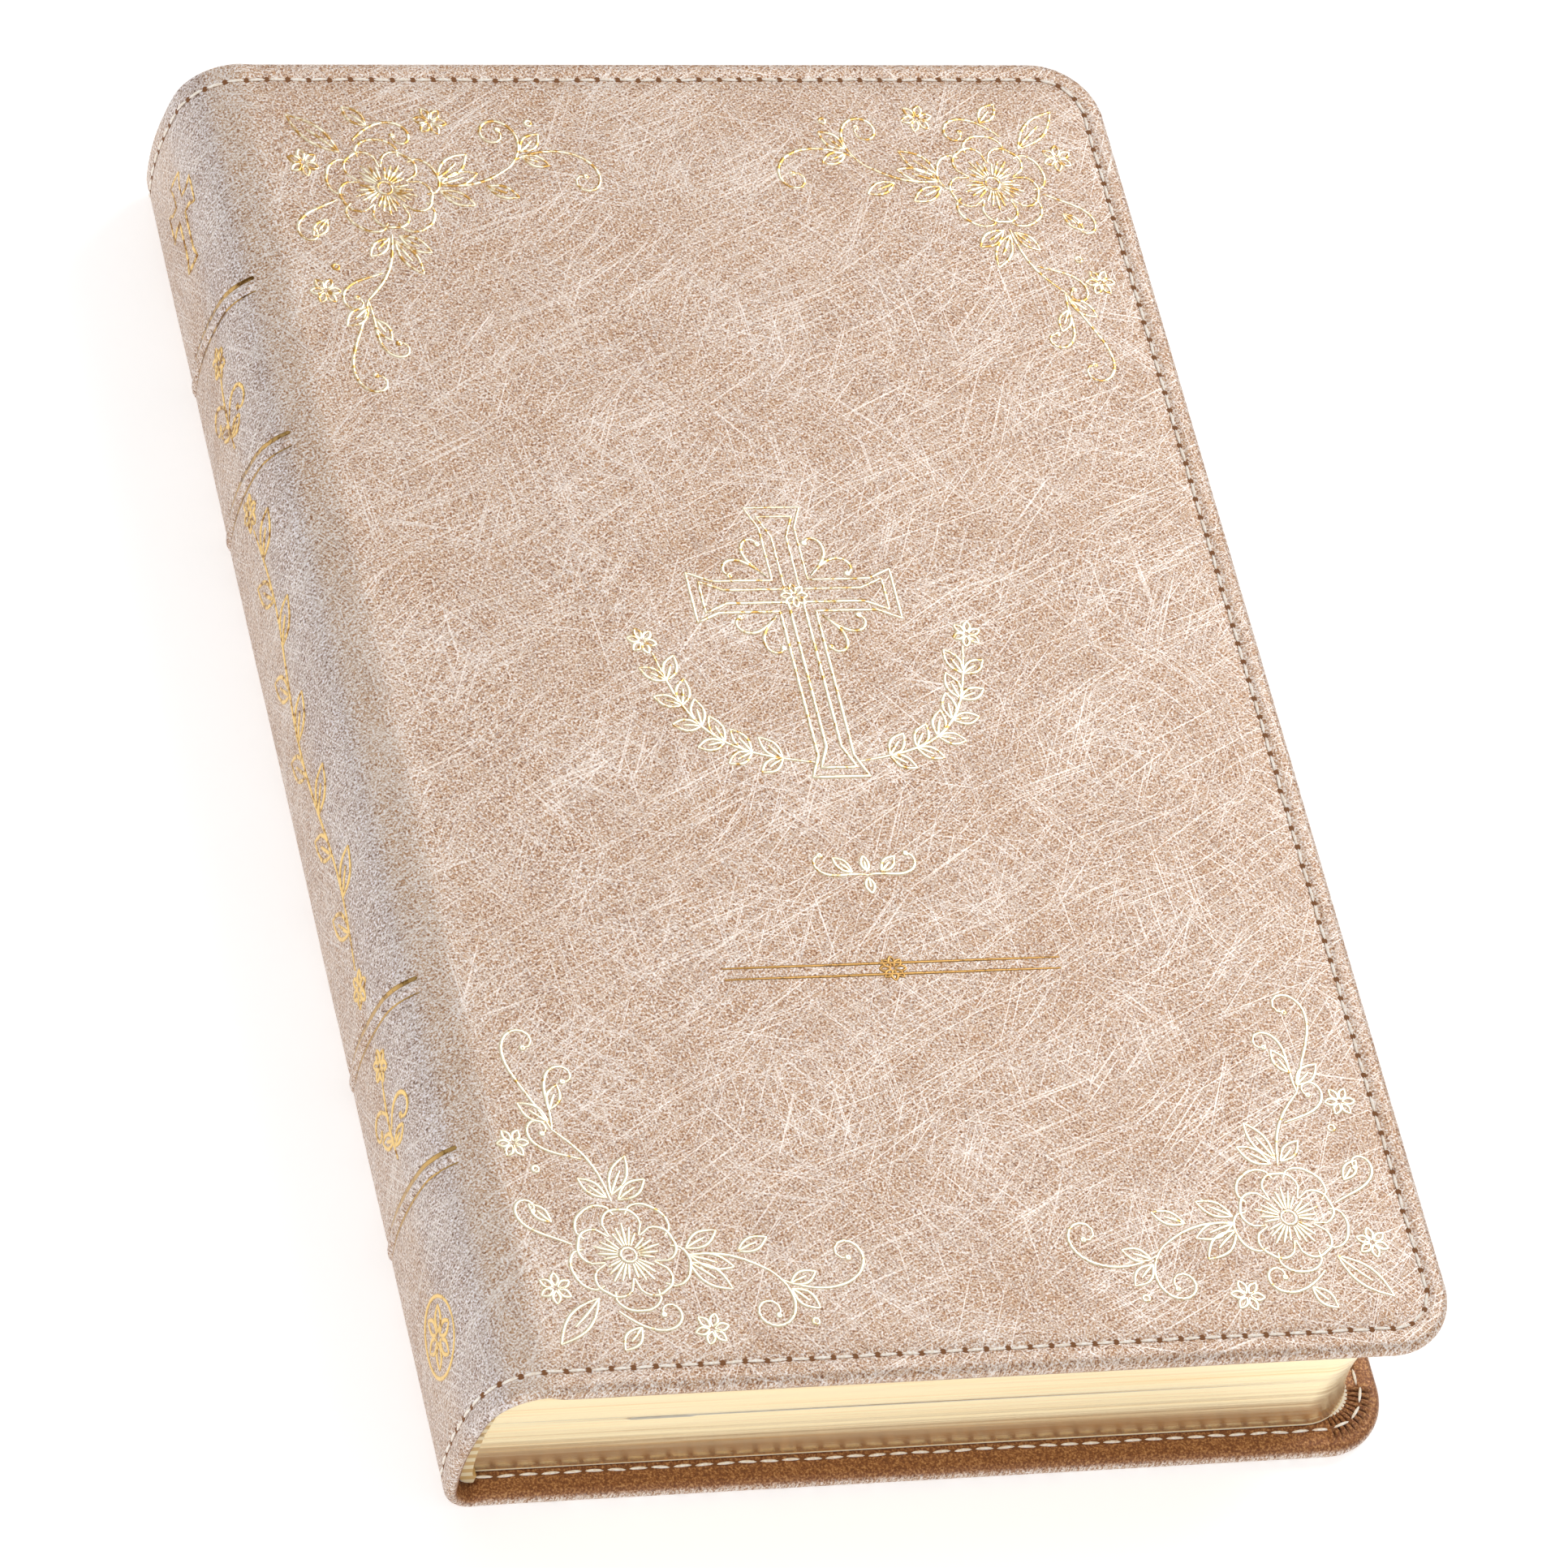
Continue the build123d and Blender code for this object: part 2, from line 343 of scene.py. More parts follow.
def pearl_leather():
    """Pearl ink over beige, its grain broken by pale and dark scratches. Places are in metres."""
    made, tree, shader = material("pearl_imitation_leather")
    flat = add(tree, "Attribute", {"attribute_name": "flat"}).outputs["Vector"]
    sweep = scratches(tree, flat, (0.46, 0.33, 0.58), 0.00019, 0.034, 0.668)
    crossing = scratches(tree, flat, (-0.90, 1.65, -0.20, 1.15, 2.40, 0.85), 0.00018, 0.026, 0.680)
    dark = scratches(tree, flat, (-0.95, -1.20, 0.90, 1.80), 0.00018, 0.016, 0.68)
    fine = add(tree, "TexNoise", {}, {"Vector": flat, "Scale": 3000.0, "Detail": 2.0, "Roughness": 0.6})
    drift = add(tree, "TexNoise", {}, {"Vector": flat, "Scale": 130.0, "Detail": 3.0})
    grain = add(tree, "Math", {"operation": "MULTIPLY_ADD"}, {0: drift, 1: 0.05, 2: fine})
    way = add(tree, "SeparateXYZ", {}, {0: flat}).outputs[0]
    # Painted light and shade by place round the case: the spine is painted greyer as painted shade, and the
    # front shoulder paler as painted light.
    fades = [add(tree, "MapRange", {"interpolation_type": "SMOOTHSTEP"},
                 {"Value": way, "From Min": none, "From Max": full, "To Min": least})
             for none, full, least in ((0.008, 0.014, 0.0), (0.025, 0.018, 0.0),
                                       (0.000, 0.007, 0.25), (0.0160, 0.0125, 0.0))]
    shoulder_light, spine_shade = [add(tree, "Math", {"operation": "MULTIPLY"}, {0: on, 1: off})
                           for on, off in (fades[:2], fades[2:])]
    # Painted light: the colour ramp is lifted over the front shoulder.
    grain = add(tree, "Math", {"operation": "MULTIPLY_ADD"}, {0: shoulder_light, 1: 0.035, 2: grain})
    beige = add(tree, "ValToRGB", {"ramp": BEIGE}, {0: grain})
    grey = add(tree, "ValToRGB", {"ramp": SHADED_SPINE_GREY}, {0: grain})
    ground = toned(tree, spine_shade, beige, grey, 0.8)
    scored = toned(tree, dark, ground, linear("#8A6650"), 0.50)
    crossed = toned(tree, crossing, scored, linear("#F6EEE8"), 0.54)
    silver = toned(tree, sweep, crossed, linear("#FAF2EA"), 0.46)
    # Painted shade and a painted reflection of the gilt: the turned-in side is painted bronze brown.
    turn_in_shade = add(tree, "ValToRGB", {"ramp": [(0.42, "#7A4826"), (0.55, "#9F683B"), (0.70, "#C99662")]},
                 {0: grain})
    # Painted shade in the valleys of the corner pleats.
    pleat_shades = add(tree, "Attribute", {"attribute_name": "tuck"}).outputs["Fac"]
    turn_in_shade = toned(tree, pleat_shades, turn_in_shade, linear("#3A1F0E"), 0.85)
    inside = add(tree, "Attribute", {"attribute_name": "inside"}).outputs["Fac"]
    colour = toned(tree, inside, silver, turn_in_shade)
    lines = add(tree, "Math", {"operation": "MAXIMUM"}, {0: sweep, 1: crossing})
    rough = add(tree, "MapRange", {}, {"Value": lines, "To Min": 0.46, "To Max": 0.28})
    relief = add(tree, "Math", {"operation": "MULTIPLY_ADD"}, {0: lines, 1: 0.5, 2: fine})
    bump = add(tree, "Bump", {}, {"Strength": 0.5, "Distance": 0.00006, "Height": relief})
    feed(tree, shader, Base_Color=colour, Roughness=rough, Metallic=0.28, Normal=bump)
    return made


LEATHER = pearl_leather()
print("leather:", len(LEATHER.node_tree.nodes), "nodes")

# %% [markdown]
# ## The leather case
# One sheet of leather runs from fore edge to fore edge. It rolls over the boards, turns in by 9 mm, and
# gathers in small pleats where the turn-in goes round a corner. The sheet starts as a flat grid inside
# the turn-in. Its border is then extruded ring by ring: out over the pressed seam, round the edge, and
# back in underneath. A solidify gives the skin its thickness. Grid lines are close together only round
# the spine and at the bands, where the surface really curves.

# %% The flat leather sheet
INSET, CORNER, SEAM = 9.0, 10.0, 3.4
EDGE_ROLL = 1.2
PLEATS, PLEAT_DEPTH = 11, 0.55


def thickness_at(way):
    """Whole thickness of the turned-in case, thinner along the spine."""
    front, back = way_to_cover(1), way_to_cover(-1)
    share = max(smooth(front - 1.2, front + 2.0, way), smooth(back + 1.0, back - 2.0, way))
    return SPINE + (COVER - SPINE) * share


def slice_grid(bm, places, axis):
    """Cuts a bmesh across one axis at each of the places."""
    for place in places:
        point, normal = [0, 0, 0], [0, 0, 0]
        point[axis], normal[axis] = place, 1
        bmesh.ops.bisect_plane(bm, geom=whole(bm), plane_co=point, plane_no=normal)


def corner_of(point):
    """The nearest point of the frame on which the corners' arcs are centred."""
    return Vector((min(FRONT_EDGE - CORNER, max(BACK_EDGE + CORNER, point.x)),
                   min(HEAD - CORNER, max(TAIL + CORNER, point.y)), 0))


def gather_at(point):
    """How much of its fulness the leather must gather here: all of it in a corner, none along an edge.
    Also gives the heading out of the corner."""
    middle = corner_of(point)
    heading = math.atan2(abs(point.y - middle.y), abs(point.x - middle.x))
    return smooth(0, 0.12, abs(math.sin(2 * heading))), heading


def flat_leather():
    """The whole skin: a grid inside the turn-in, and a ring of faces for each step of its border."""
    bm = bmesh.new()
    centre = ((FRONT_EDGE + BACK_EDGE) / 2, (HEAD + TAIL) / 2, 0)
    bmesh.ops.create_grid(bm, x_segments=1, y_segments=1, size=0.5)
    bmesh.ops.scale(bm, verts=bm.verts, vec=(FRONT_EDGE - BACK_EDGE - 2 * INSET, HEAD - TAIL - 2 * INSET, 1))
    bmesh.ops.translate(bm, verts=bm.verts, vec=centre)
    bmesh.ops.bevel(bm, geom=bm.verts[:], offset=CORNER - INSET, segments=6 * PLEATS, profile=0.5,
                    affect="VERTICES", material=-1)
    spine = [n * 0.7 for n in range(-28, 35)]
    slice_grid(bm, [n * 5.0 for n in range(-29, -4)] + spine + [n * 5.0 for n in range(5, 29)], 0)
    bands = [band + n * 0.3 for band in BANDS for n in range(-8, 9)]
    slice_grid(bm, bands + [n * 5.0 for n in range(-20, 21) if min(abs(n * 5.0 - b) for b in BANDS) > 3], 1)
    # Each ring: distance in from the edge, share of the case's thickness that it is down, lift, pleating.
    rings = [(6.5, 0, 0, 0), (4.5, 0, 0, 0), (4.0, 0, -0.08, 0), (3.4, 0, -0.2, 0), (2.8, 0, -0.06, 0),
             (2.2, 0, 0.04, 0)]
    rings += [(EDGE_ROLL * (1 - math.sin(math.radians(a))), (1 - math.cos(math.radians(a))) / 2, 0, 0)
              for a in range(0, 181, 15)]
    rings += [(1.7, 1, 0, 0.35), (2.2, 1, 0, 0.8), (2.8, 1, 0.04, 1), (3.4, 1, 0.14, 1), (4.0, 1, 0.04, 1),
              (4.6, 1, 0.05, 0.8), (5.4, 1, 0.1, 0.5), (8.8, 1, 0.25, 0)]
    edges = border(bm.edges)
    tuck = bm.verts.layers.float.new("tuck")
    for inset, share, lift, pleat in rings:
        edges = border(bmesh.ops.extrude_edge_only(bm, edges=edges)["geom"])
        for v in {v for e in edges for v in e.verts}:
            middle = corner_of(v.co)
            out = Vector((v.co.x - middle.x, v.co.y - middle.y, 0)).normalized()
            v.co = middle + out * (CORNER - inset)
            gather, heading = gather_at(v.co)
            gather, ridge = gather * pleat, abs(math.sin(2 * PLEATS * heading))
            v.co.z = -share * thickness_at(v.co.x) + lift - PLEAT_DEPTH * gather * ridge
            # Painted shade: strongest in the pleats' valleys, where the material paints the leather near
            # black-brown.
            v[tuck] = gather * (1 - ridge) ** 1.5
    # Marks the turned-in side, which the material paints bronze brown as painted shade.
    inside = bm.verts.layers.float.new("inside")
    for v in bm.verts:
        depth = -v.co.z / thickness_at(v.co.x)
        v[inside] = smooth(0.55, 0.9, depth)
        v.co.z += leather_height(v.co.x, v.co.y) * smooth(0.8, 0.2, depth)
    bmesh.ops.recalc_face_normals(bm, faces=bm.faces)
    bm.faces.ensure_lookup_table()
    middle = min(bm.faces, key=lambda f: (f.calc_center_median() - Vector(centre)).length)
    if middle.normal.z < 0:
        bmesh.ops.reverse_faces(bm, faces=bm.faces)
    return bm


case = wrap_and_bend(flat_leather(), "leather_case", LEATHER, thickness=0.6)
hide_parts("back_skin", "spine_skin_rear")
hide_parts("front_skin", "spine_skin_front")
for part in case:
    print(part.name, len(part.data.polygons), "faces")

# %% [markdown]
# ## The sewn edge
# A lockstitch runs 3.4 mm in from the edge all the way round the flat case, 8 stitches to the inch. Each
# stitch is a short thread that dips into a needle hole at both ends, and the hole shows as a dark
# puckered spot. So the seam is a row of small thread segments with a hole between each two, spaced
# evenly along the rounded path. Both faces of the leather have the row, because a lockstitch looks the
# same from each side.

# %% Thread and needle-hole materials
def sewing_thread():
    """Bonded polyester, cream: matt, with a fine twist that catches the light."""
    made, tree, shader = material("bonded_polyester_thread")
    flat = add(tree, "Attribute", {"attribute_name": "flat"}).outputs["Vector"]
    twist = add(tree, "TexNoise", {}, {"Vector": flat, "Scale": 2600.0, "Detail": 1.0})
    colour = add(tree, "ValToRGB", {"ramp": [(0.35, "#F0E0CC"), (0.65, "#FFFAF1")]}, {0: twist})
    feed(tree, shader, Base_Color=colour, Roughness=0.5, Sheen_Weight=0.5)
    return made


def pierced_leather():
    """The torn rim and the shade inside a needle hole: the brown backing shows."""
    made, tree, shader = material("pierced_leather")
    feed(tree, shader, Base_Color=linear("#7C4E28"), Roughness=0.85)
    return made


THREAD, HOLE = sewing_thread(), pierced_leather()


# %% Where the stitches go
def seam_path(inset, pitch):
    """Evenly spaced points round the flat case, each with its heading."""
    reach = CORNER - inset
    middles = [(FRONT_EDGE - CORNER, HEAD - CORNER, 0), (BACK_EDGE + CORNER, HEAD - CORNER, 90),
               (BACK_EDGE + CORNER, TAIL + CORNER, 180), (FRONT_EDGE - CORNER, TAIL + CORNER, 270)]
    line = [Vector((x + reach * math.cos(math.radians(a)), y + reach * math.sin(math.radians(a)), 0))
            for x, y, start in middles for a in range(start, start + 91, 6)]
    line.append(line[0].copy())
    whole = sum((b - a).length for a, b in zip(line, line[1:]))
    step = whole / round(whole / pitch)
    points, target, run = [], step / 2, 0
    for a, b in zip(line, line[1:]):
        length = (b - a).length
        while length and run + length >= target:
            points.append((a.lerp(b, (target - run) / length), math.atan2(b.y - a.y, b.x - a.x)))
            target += step
        run += length
    return points, step


PATH, PITCH = seam_path(SEAM, 3.17)
print(len(PATH), "stitches, one every", round(PITCH, 3), "mm")


# %% One thread and one hole
THREAD_SIZE = (PITCH * 0.43, 0.23, 0.18)  # half its length, width and height
THREAD_DIP = 0.12  # how far its ends go down into their holes
HOLE_RIM, HOLE_FOOT, HOLE_DEPTH = 0.44, 0.58, 0.24


def template(name, bm):
    """A mesh that is copied many times."""
    mesh = bpy.data.meshes.new(name)
    bm.to_mesh(mesh)
    bm.free()
    return mesh


bm = bmesh.new()
bmesh.ops.create_uvsphere(bm, u_segments=8, v_segments=6, radius=1)
bmesh.ops.scale(bm, verts=bm.verts, vec=THREAD_SIZE)
for v in bm.verts:
    v.co.z -= THREAD_DIP * (v.co.x / THREAD_SIZE[0]) ** 2
ONE_THREAD = template("one_thread", bm)
bm = bmesh.new()
bmesh.ops.create_cone(bm, segments=10, radius1=HOLE_FOOT, radius2=HOLE_RIM, depth=HOLE_DEPTH, cap_ends=True)
ONE_HOLE = template("one_hole", bm)


# %% Stitches
STRAY, ASKEW = 0.05, 0.07  # how far a stitch may be off its place, in mm, and off its heading, in radians
PROUD_INSIDE = 0.04
PRESSED_BACK = 0.20  # threads on the face that the book lies on are pressed down into the leather
HOLE_SUNK = 0.20


def stitch_row(underneath):
    """The threads of one face, and the holes between them."""
    random.seed(11 + underneath)
    threads, holes = bmesh.new(), bmesh.new()
    over = Matrix.Rotation(math.pi, 4, "X") if underneath else Matrix.Identity(4)
    side = -1 if underneath else 1
    for place, heading in PATH:
        fullness = 0.8 * PLEAT_DEPTH * gather_at(place)[0]
        level = -thickness_at(place.x) - fullness if underneath else leather_height(place.x, place.y)
        spot = place + Vector((random.uniform(-STRAY, STRAY), random.uniform(-STRAY, STRAY), level))
        turn = Matrix.Rotation(heading + random.uniform(-ASKEW, ASKEW), 4, "Z")
        ahead = turn @ Vector((PITCH / 2, 0, 0))
        bedded = -PROUD_INSIDE if underneath else PRESSED_BACK if place.x < way_to_cover(-1) else 0.0
        for mesh, into, where, sunk in ((ONE_THREAD, threads, spot, bedded),
                                        (ONE_HOLE, holes, spot + ahead, HOLE_SUNK)):
            one = mesh.copy()
            one.transform(Matrix.Translation(where - Vector((0, 0, side * sunk))) @ turn @ over)
            into.from_mesh(one)
            bpy.data.meshes.remove(one)
    return threads, holes


for row, face in enumerate(("outside", "inside")):
    threads, holes = stitch_row(row)
    for part in wrap_and_bend(threads, f"seam_thread_{face}", THREAD):
        if row == 0:
            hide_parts(*(("front_edge_seam", "spine_seam_front") if "front" in part.name
                                else ("back_edge_seam", "spine_seam_rear")))
    for part in wrap_and_bend(holes, f"needle_holes_{face}", HOLE):
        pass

# %% [markdown]
# ## Foil stamping
# A heated die presses gold foil into the leather. Its design here is a generic spray of garden flowers,
# drawn from a few plain strokes: a tendril that curls up, a pointed leaf, a ring, a petal. Each stroke
# is a list of points on the flat case, and the whole drawing becomes one curve object with a round
# bevel. The curve is turned to a mesh, pressed flat until it stands about 0.1 mm proud, and wrapped.

# %% Strokes
def at(centre, degrees, radius):
    """The point at an angle and a distance from a centre."""
    turn = math.radians(degrees)
    return (centre[0] + radius * math.cos(turn), centre[1] + radius * math.sin(turn))


def tendril(start, heading, length, first, last, power=2.0, steps=24):
    """A tendril that curls up and ends in a bead; first and last are its turns a millimetre."""
    points, (u, v), angle = [start], start, math.radians(heading)
    for n in range(steps):
        angle += math.tau * (first + (last - first) * ((n + 0.5) / steps) ** power) * length / steps
        u, v = u + math.cos(angle) * length / steps, v + math.sin(angle) * length / steps
        points.append((u, v))
    return [points, ring(points[-1], 0.3, 6)]


def bow(start, end, rise, steps=10):
    """A shallow arc that rises to its left."""
    du, dv = end[0] - start[0], end[1] - start[1]
    lifts = [(n / steps, rise * math.sin(math.pi * n / steps)) for n in range(steps + 1)]
    return [(start[0] + du * t - dv * lift, start[1] + dv * t + du * lift) for t, lift in lifts]


def ring(centre, radius, steps=10):
    """A closed circle."""
    return [at(centre, 360 * n / steps, radius) for n in range(steps + 1)]


def leaf(base, tip, fullness=0.2):
    """A pointed leaf: two edges and a short midrib."""
    rib = (base[0] + 0.62 * (tip[0] - base[0]), base[1] + 0.62 * (tip[1] - base[1]))
    return [bow(base, tip, fullness), bow(base, tip, -fullness), bow(base, rib, 0.02, 4)]


def petal(centre, degrees, spread, root, reach, notch, steps=14):
    """One petal's edge, round, with a shallow notch at its crown."""
    points = []
    for n in range(steps + 1):
        t = n / steps * 2 - 1
        crown = math.cos(t * math.pi / 2) ** 0.45 * (1 - notch * math.exp(-((t / 0.22) ** 2)))
        points.append(at(centre, degrees + spread * t, root + (reach - root) * crown))
    return points


def flower(centre, radius, petals=5, tilt=18):
    """A wild rose: a double row of petals, an eye and stamens."""
    strokes, step = [ring(centre, 0.13 * radius)], 360 / petals
    for n in range(petals):
        middle = tilt + n * step
        strokes.append(petal(centre, middle, 0.48 * step, 0.42 * radius, 0.83 * radius, 0.07))
        strokes.append(petal(centre, middle + 0.5 * step, 0.40 * step, 0.72 * radius, radius, 0.05))
        for side in range(-2, 3):
            reach = (0.56 - 0.07 * abs(side)) * radius
            strokes.append([at(centre, middle + side * 0.16 * step, 0.17 * radius),
                            at(centre, middle + side * 0.18 * step, reach)])
    return strokes


def blossom(centre, radius, petals=6, tilt=0):
    """A small open blossom of pointed petals."""
    return [edge for n in range(petals)
            for edge in leaf(at(centre, tilt + n * 360 / petals, 0.16 * radius),
                             at(centre, tilt + n * 360 / petals, radius), 0.26)[:2]]


# %% The drawings
def corner_spray():
    """Round its flower: u runs along the cover's short edge to the middle, v along its long edge."""
    strokes = flower((0, 0), 8.8)
    for base, tip, fullness in (
            ((-5.6, -6.4), (-12.4, -13.2), 0.16), ((-0.6, -11.2), (-3.6, -14.6), 0.24),
            ((8.3, -1.6), (13.6, -6.0), 0.20), ((8.6, -0.6), (14.6, -2.6), 0.18),
            ((8.3, 0.6), (13.2, 3.2), 0.20), ((15.6, -0.2), (20.2, 1.8), 0.20),
            ((22.0, -6.4), (25.4, -9.6), 0.24), ((22.0, -5.6), (26.0, -3.9), 0.22),
            ((-9.8, 5.6), (-12.4, 8.6), 0.22), ((0.4, 8.6), (4.8, 11.6), 0.20),
            ((-0.4, 9.4), (2.8, 15.4), 0.17), ((-1.2, 9.0), (-4.6, 12.2), 0.20),
            ((-6.8, 21.2), (-10.6, 24.4), 0.22), ((-6.2, 23.2), (-4.4, 27.0), 0.22)):
        strokes += leaf(base, tip, fullness)
    for start, heading, length, first, last, power in (
            ((-3.2, -8.6), -48, 15.5, 0.010, 0.165, 2.2), ((19.5, -3.4), -38, 20.5, -0.018, -0.125, 1.6),
            ((21.0, -5.0), -30, 23.5, 0.012, 0.150, 3.0), ((-7.6, 2.0), 150, 14.5, 0.008, -0.170, 2.0),
            ((-3.4, 15.2), 160, 14.5, 0.006, -0.175, 1.8), ((-6.6, 20.0), 78, 15.5, 0.012, -0.175, 2.2),
            ((-6.6, 20.0), 108, 23.0, 0.004, -0.145, 3.0)):
        strokes += tendril(start, heading, length, first, last, power)
    for centre, radius, tilt in (((9.3, -12.0), 2.5, 10), ((-11.4, -4.6), 2.4, 25), ((-12.6, 18.2), 2.3, 0)):
        strokes += blossom(centre, radius, 6, tilt)
    strokes += [bow((8.4, -0.4), (19.5, -3.4), 0.10), bow((-0.6, 8.4), (-6.6, 20.0), -0.10)]
    return strokes + [ring((24.3, -11.6), 0.5, 8), ring((-10.2, 14.0), 0.5, 8)]


def flourish():
    """A pair of scrolls with leaves, for under the cross."""
    half = tendril((0, 0), 18, 10.5, -0.030, 0.150, 1.6) + leaf((2.2, 0.5), (4.6, 3.0), 0.22)
    strokes = [[(side * u, v) for u, v in line] for side in (-1, 1) for line in half]
    return strokes + leaf((0, -0.4), (0, -3.0), 0.25) + leaf((0, 0.6), (0, 3.2), 0.22)


def cross(height, span, arm, outlines=(0.0, 0.29)):
    """A Latin cross in outline, with flared ends."""
    beam, strokes = height / 2 - span * 0.49, []
    for share in outlines:
        inset, neck, flare = share * arm, arm * 0.65, arm * 0.29
        a, top, side = arm / 2 - inset, height / 2 - inset, span / 2 - inset
        right = [(a + flare, top), (a, top - neck), (a, beam + a), (side - neck, beam + a),
                 (side, beam + a + flare), (side, beam - a - flare), (side - neck, beam - a),
                 (a, beam - a), (a, neck - top), (a + flare, -top)]
        strokes.append(right + [(-u, v) for u, v in right[::-1]] + right[:1])
    return strokes


def cover_centre():
    """The cross with scrolls between its arms, and a leafy branch on each side."""
    height, span, arm = 46.0, 31.0, 5.4
    beam = height / 2 - span * 0.49
    strokes = cross(height, span, arm) + blossom((0, beam), arm * 0.38, 8)
    for turn in (45, 135, 225, 315):
        for curl in (0.16, -0.16):
            strokes += tendril(at((0, beam), turn, arm * 0.88), turn, height * 0.21, 0.0, curl, 1.8)
    branch = bow((3.4, -20.5), (23.5, -1.5), -0.22, 14)
    side = [branch] + blossom((24.6, 0.6), 2.2, 6, 15)
    for n in range(2, 14, 2):
        (u, v), (du, dv) = branch[n], (branch[n][0] - branch[n - 1][0], branch[n][1] - branch[n - 1][1])
        heading = math.degrees(math.atan2(dv, du))
        for turn, length in ((42, 4.6), (-42, 4.2)):
            side += leaf((u, v), at((u, v), heading + turn, length), 0.22)
    return strokes + [[(way * u, v) for u, v in line] for way in (-1, 1) for line in side]


def vine(length, leaves):
    """A waving stem with leaves on both sides, for the long panel of the spine."""
    stem = [(1.3 * math.sin(math.tau * 1.5 * n / 40), length * (n / 40 - 0.5)) for n in range(41)]
    strokes = [stem] + blossom((0, length / 2 + 2.6), 2.4) + blossom((0, -length / 2 - 2.6), 2.4)
    for n in range(leaves):
        base, side = stem[3 + n * 34 // (leaves - 1)], 1 if n % 2 else -1
        strokes += leaf(base, (base[0] + side * 4.4, base[1] + 4.6), 0.24)
    return strokes


def sprig():
    """Two leaves, two scrolls and a bud, that rise along v."""
    strokes = [bow((0, -7.0), (0.6, 3.6), 0.06)] + blossom((0.9, 5.4), 2.2, 6, 30)
    strokes += tendril((0.2, -3.0), 65, 11.0, -0.02, -0.150, 1.4)
    strokes += tendril((0, -1.4), 118, 10.0, 0.02, 0.160, 1.4)
    return strokes + leaf((0.1, -4.4), (-3.6, -2.6), 0.22) + leaf((0.1, -5.2), (3.6, -4.2), 0.22)


def placed(strokes, where, across=1, up=1, size=1.0):
    """A drawing moved to its place, and mirrored where across or up is -1."""
    return [[(where[0] + across * size * u, where[1] + up * size * v) for u, v in line] for line in strokes]


# %% Gold foil
def gold_foil(name, bright, deep):
    """Vacuum-gilt film on embossed leather: a mirror that the grain underneath breaks into flecks. The film
    is painted deeper toward the head and brighter toward the tail, a painted reflection, and the strokes'
    rims are painted dark, as painted shade."""
    made, tree, shader = material(name)
    flat = add(tree, "Attribute", {"attribute_name": "flat"}).outputs["Vector"]
    grain = add(tree, "TexNoise", {}, {"Vector": flat, "Scale": 900.0, "Detail": 3.0, "Roughness": 0.6})
    along = add(tree, "SeparateXYZ", {}, {0: flat}).outputs[1]
    # Painted reflection: along the spine the film is painted deeper toward the head, over the grain's
    # flecks.
    flecks_and_reflection = add(tree, "Math", {"operation": "MULTIPLY_ADD"}, {0: along, 1: -0.7, 2: grain})
    film = add(tree, "ValToRGB", {"ramp": [(0.36, deep), (0.50, bright)]}, {0: flecks_and_reflection})
    # Painted shade: each stroke's rim is painted in the deep colour.
    rim = add(tree, "Attribute", {"attribute_name": "rim"}).outputs["Fac"]
    colour = toned(tree, rim, film, linear(deep), 0.7)
    rough = add(tree, "MapRange", {}, {"Value": grain, "To Min": 0.16, "To Max": 0.42})
    bump = add(tree, "Bump", {}, {"Strength": 0.6, "Distance": 0.00005, "Height": grain})
    feed(tree, shader, Base_Color=colour, Metallic=1.0, Roughness=rough, Normal=bump)
    return made


COVER_FOIL = gold_foil("gold_foil_on_cover", "#FFF6DA", "#C99B58")
SPINE_FOIL = gold_foil("gold_foil_on_spine", "#F8D48A", "#8A5E26")
BAND_FOIL = gold_foil("gold_foil_in_band", "#C8A366", "#6E4C22")
PRESSED_FOIL = gold_foil("pressed_dull_gold", "#B98F55", "#7A5730")


def in_short_steps(line, longest=1.2):
    """A stroke with points close enough together for it to follow the leather."""
    points = [line[0]]
    for a, b in zip(line, line[1:]):
        parts = math.ceil(max(0.01, math.dist(a, b)) / longest)
        points += [(a[0] + (b[0] - a[0]) * n / parts, a[1] + (b[1] - a[1]) * n / parts)
                   for n in range(1, parts + 1)]
    return points


FLATTENED, BITTEN = 0.35, 0.01  # share of a stroke's height that the die leaves, and how deep it sinks


def stamp(strokes, name, foil, width=0.66):
    """Turns strokes to foil on the leather."""
    curve = bpy.data.curves.new(name, "CURVE")
    curve.dimensions, curve.use_fill_caps = "3D", True
    curve.bevel_depth, curve.bevel_resolution = width / 2, 1
    for line in map(in_short_steps, strokes):
        spline = curve.splines.new("POLY")
        spline.points.add(len(line) - 1)
        for n, (point, (u, v)) in enumerate(zip(spline.points, line)):
            swell = math.sin(math.pi * n / max(1, len(line) - 1))
            point.co, point.radius = (u, v, 0, 1), 0.70 + 0.35 * swell
    drawn = bpy.data.objects.new(name, curve)
    bpy.context.collection.objects.link(drawn)
    mesh = bpy.data.meshes.new_from_object(drawn.evaluated_get(bpy.context.evaluated_depsgraph_get()))
    bpy.data.objects.remove(drawn)
    bm = bmesh.new()
    bm.from_mesh(mesh)
    bmesh.ops.triangulate(bm, faces=[f for f in bm.faces if len(f.verts) > 4])
    bmesh.ops.recalc_face_normals(bm, faces=bm.faces)
    rim = bm.verts.layers.float.new("rim")
    for v in bm.verts:
        # Painted shade for the foil: 1 low on a stroke's sides, 0 on its crest.
        v[rim] = smooth(0.8, 0.1, v.co.z / (width / 2))
        v.co.z = v.co.z * FLATTENED + leather_height(v.co.x, v.co.y) - BITTEN
    for part in wrap_and_bend(bm, name, foil):
        print(part.name, len(part.data.polygons), "faces")


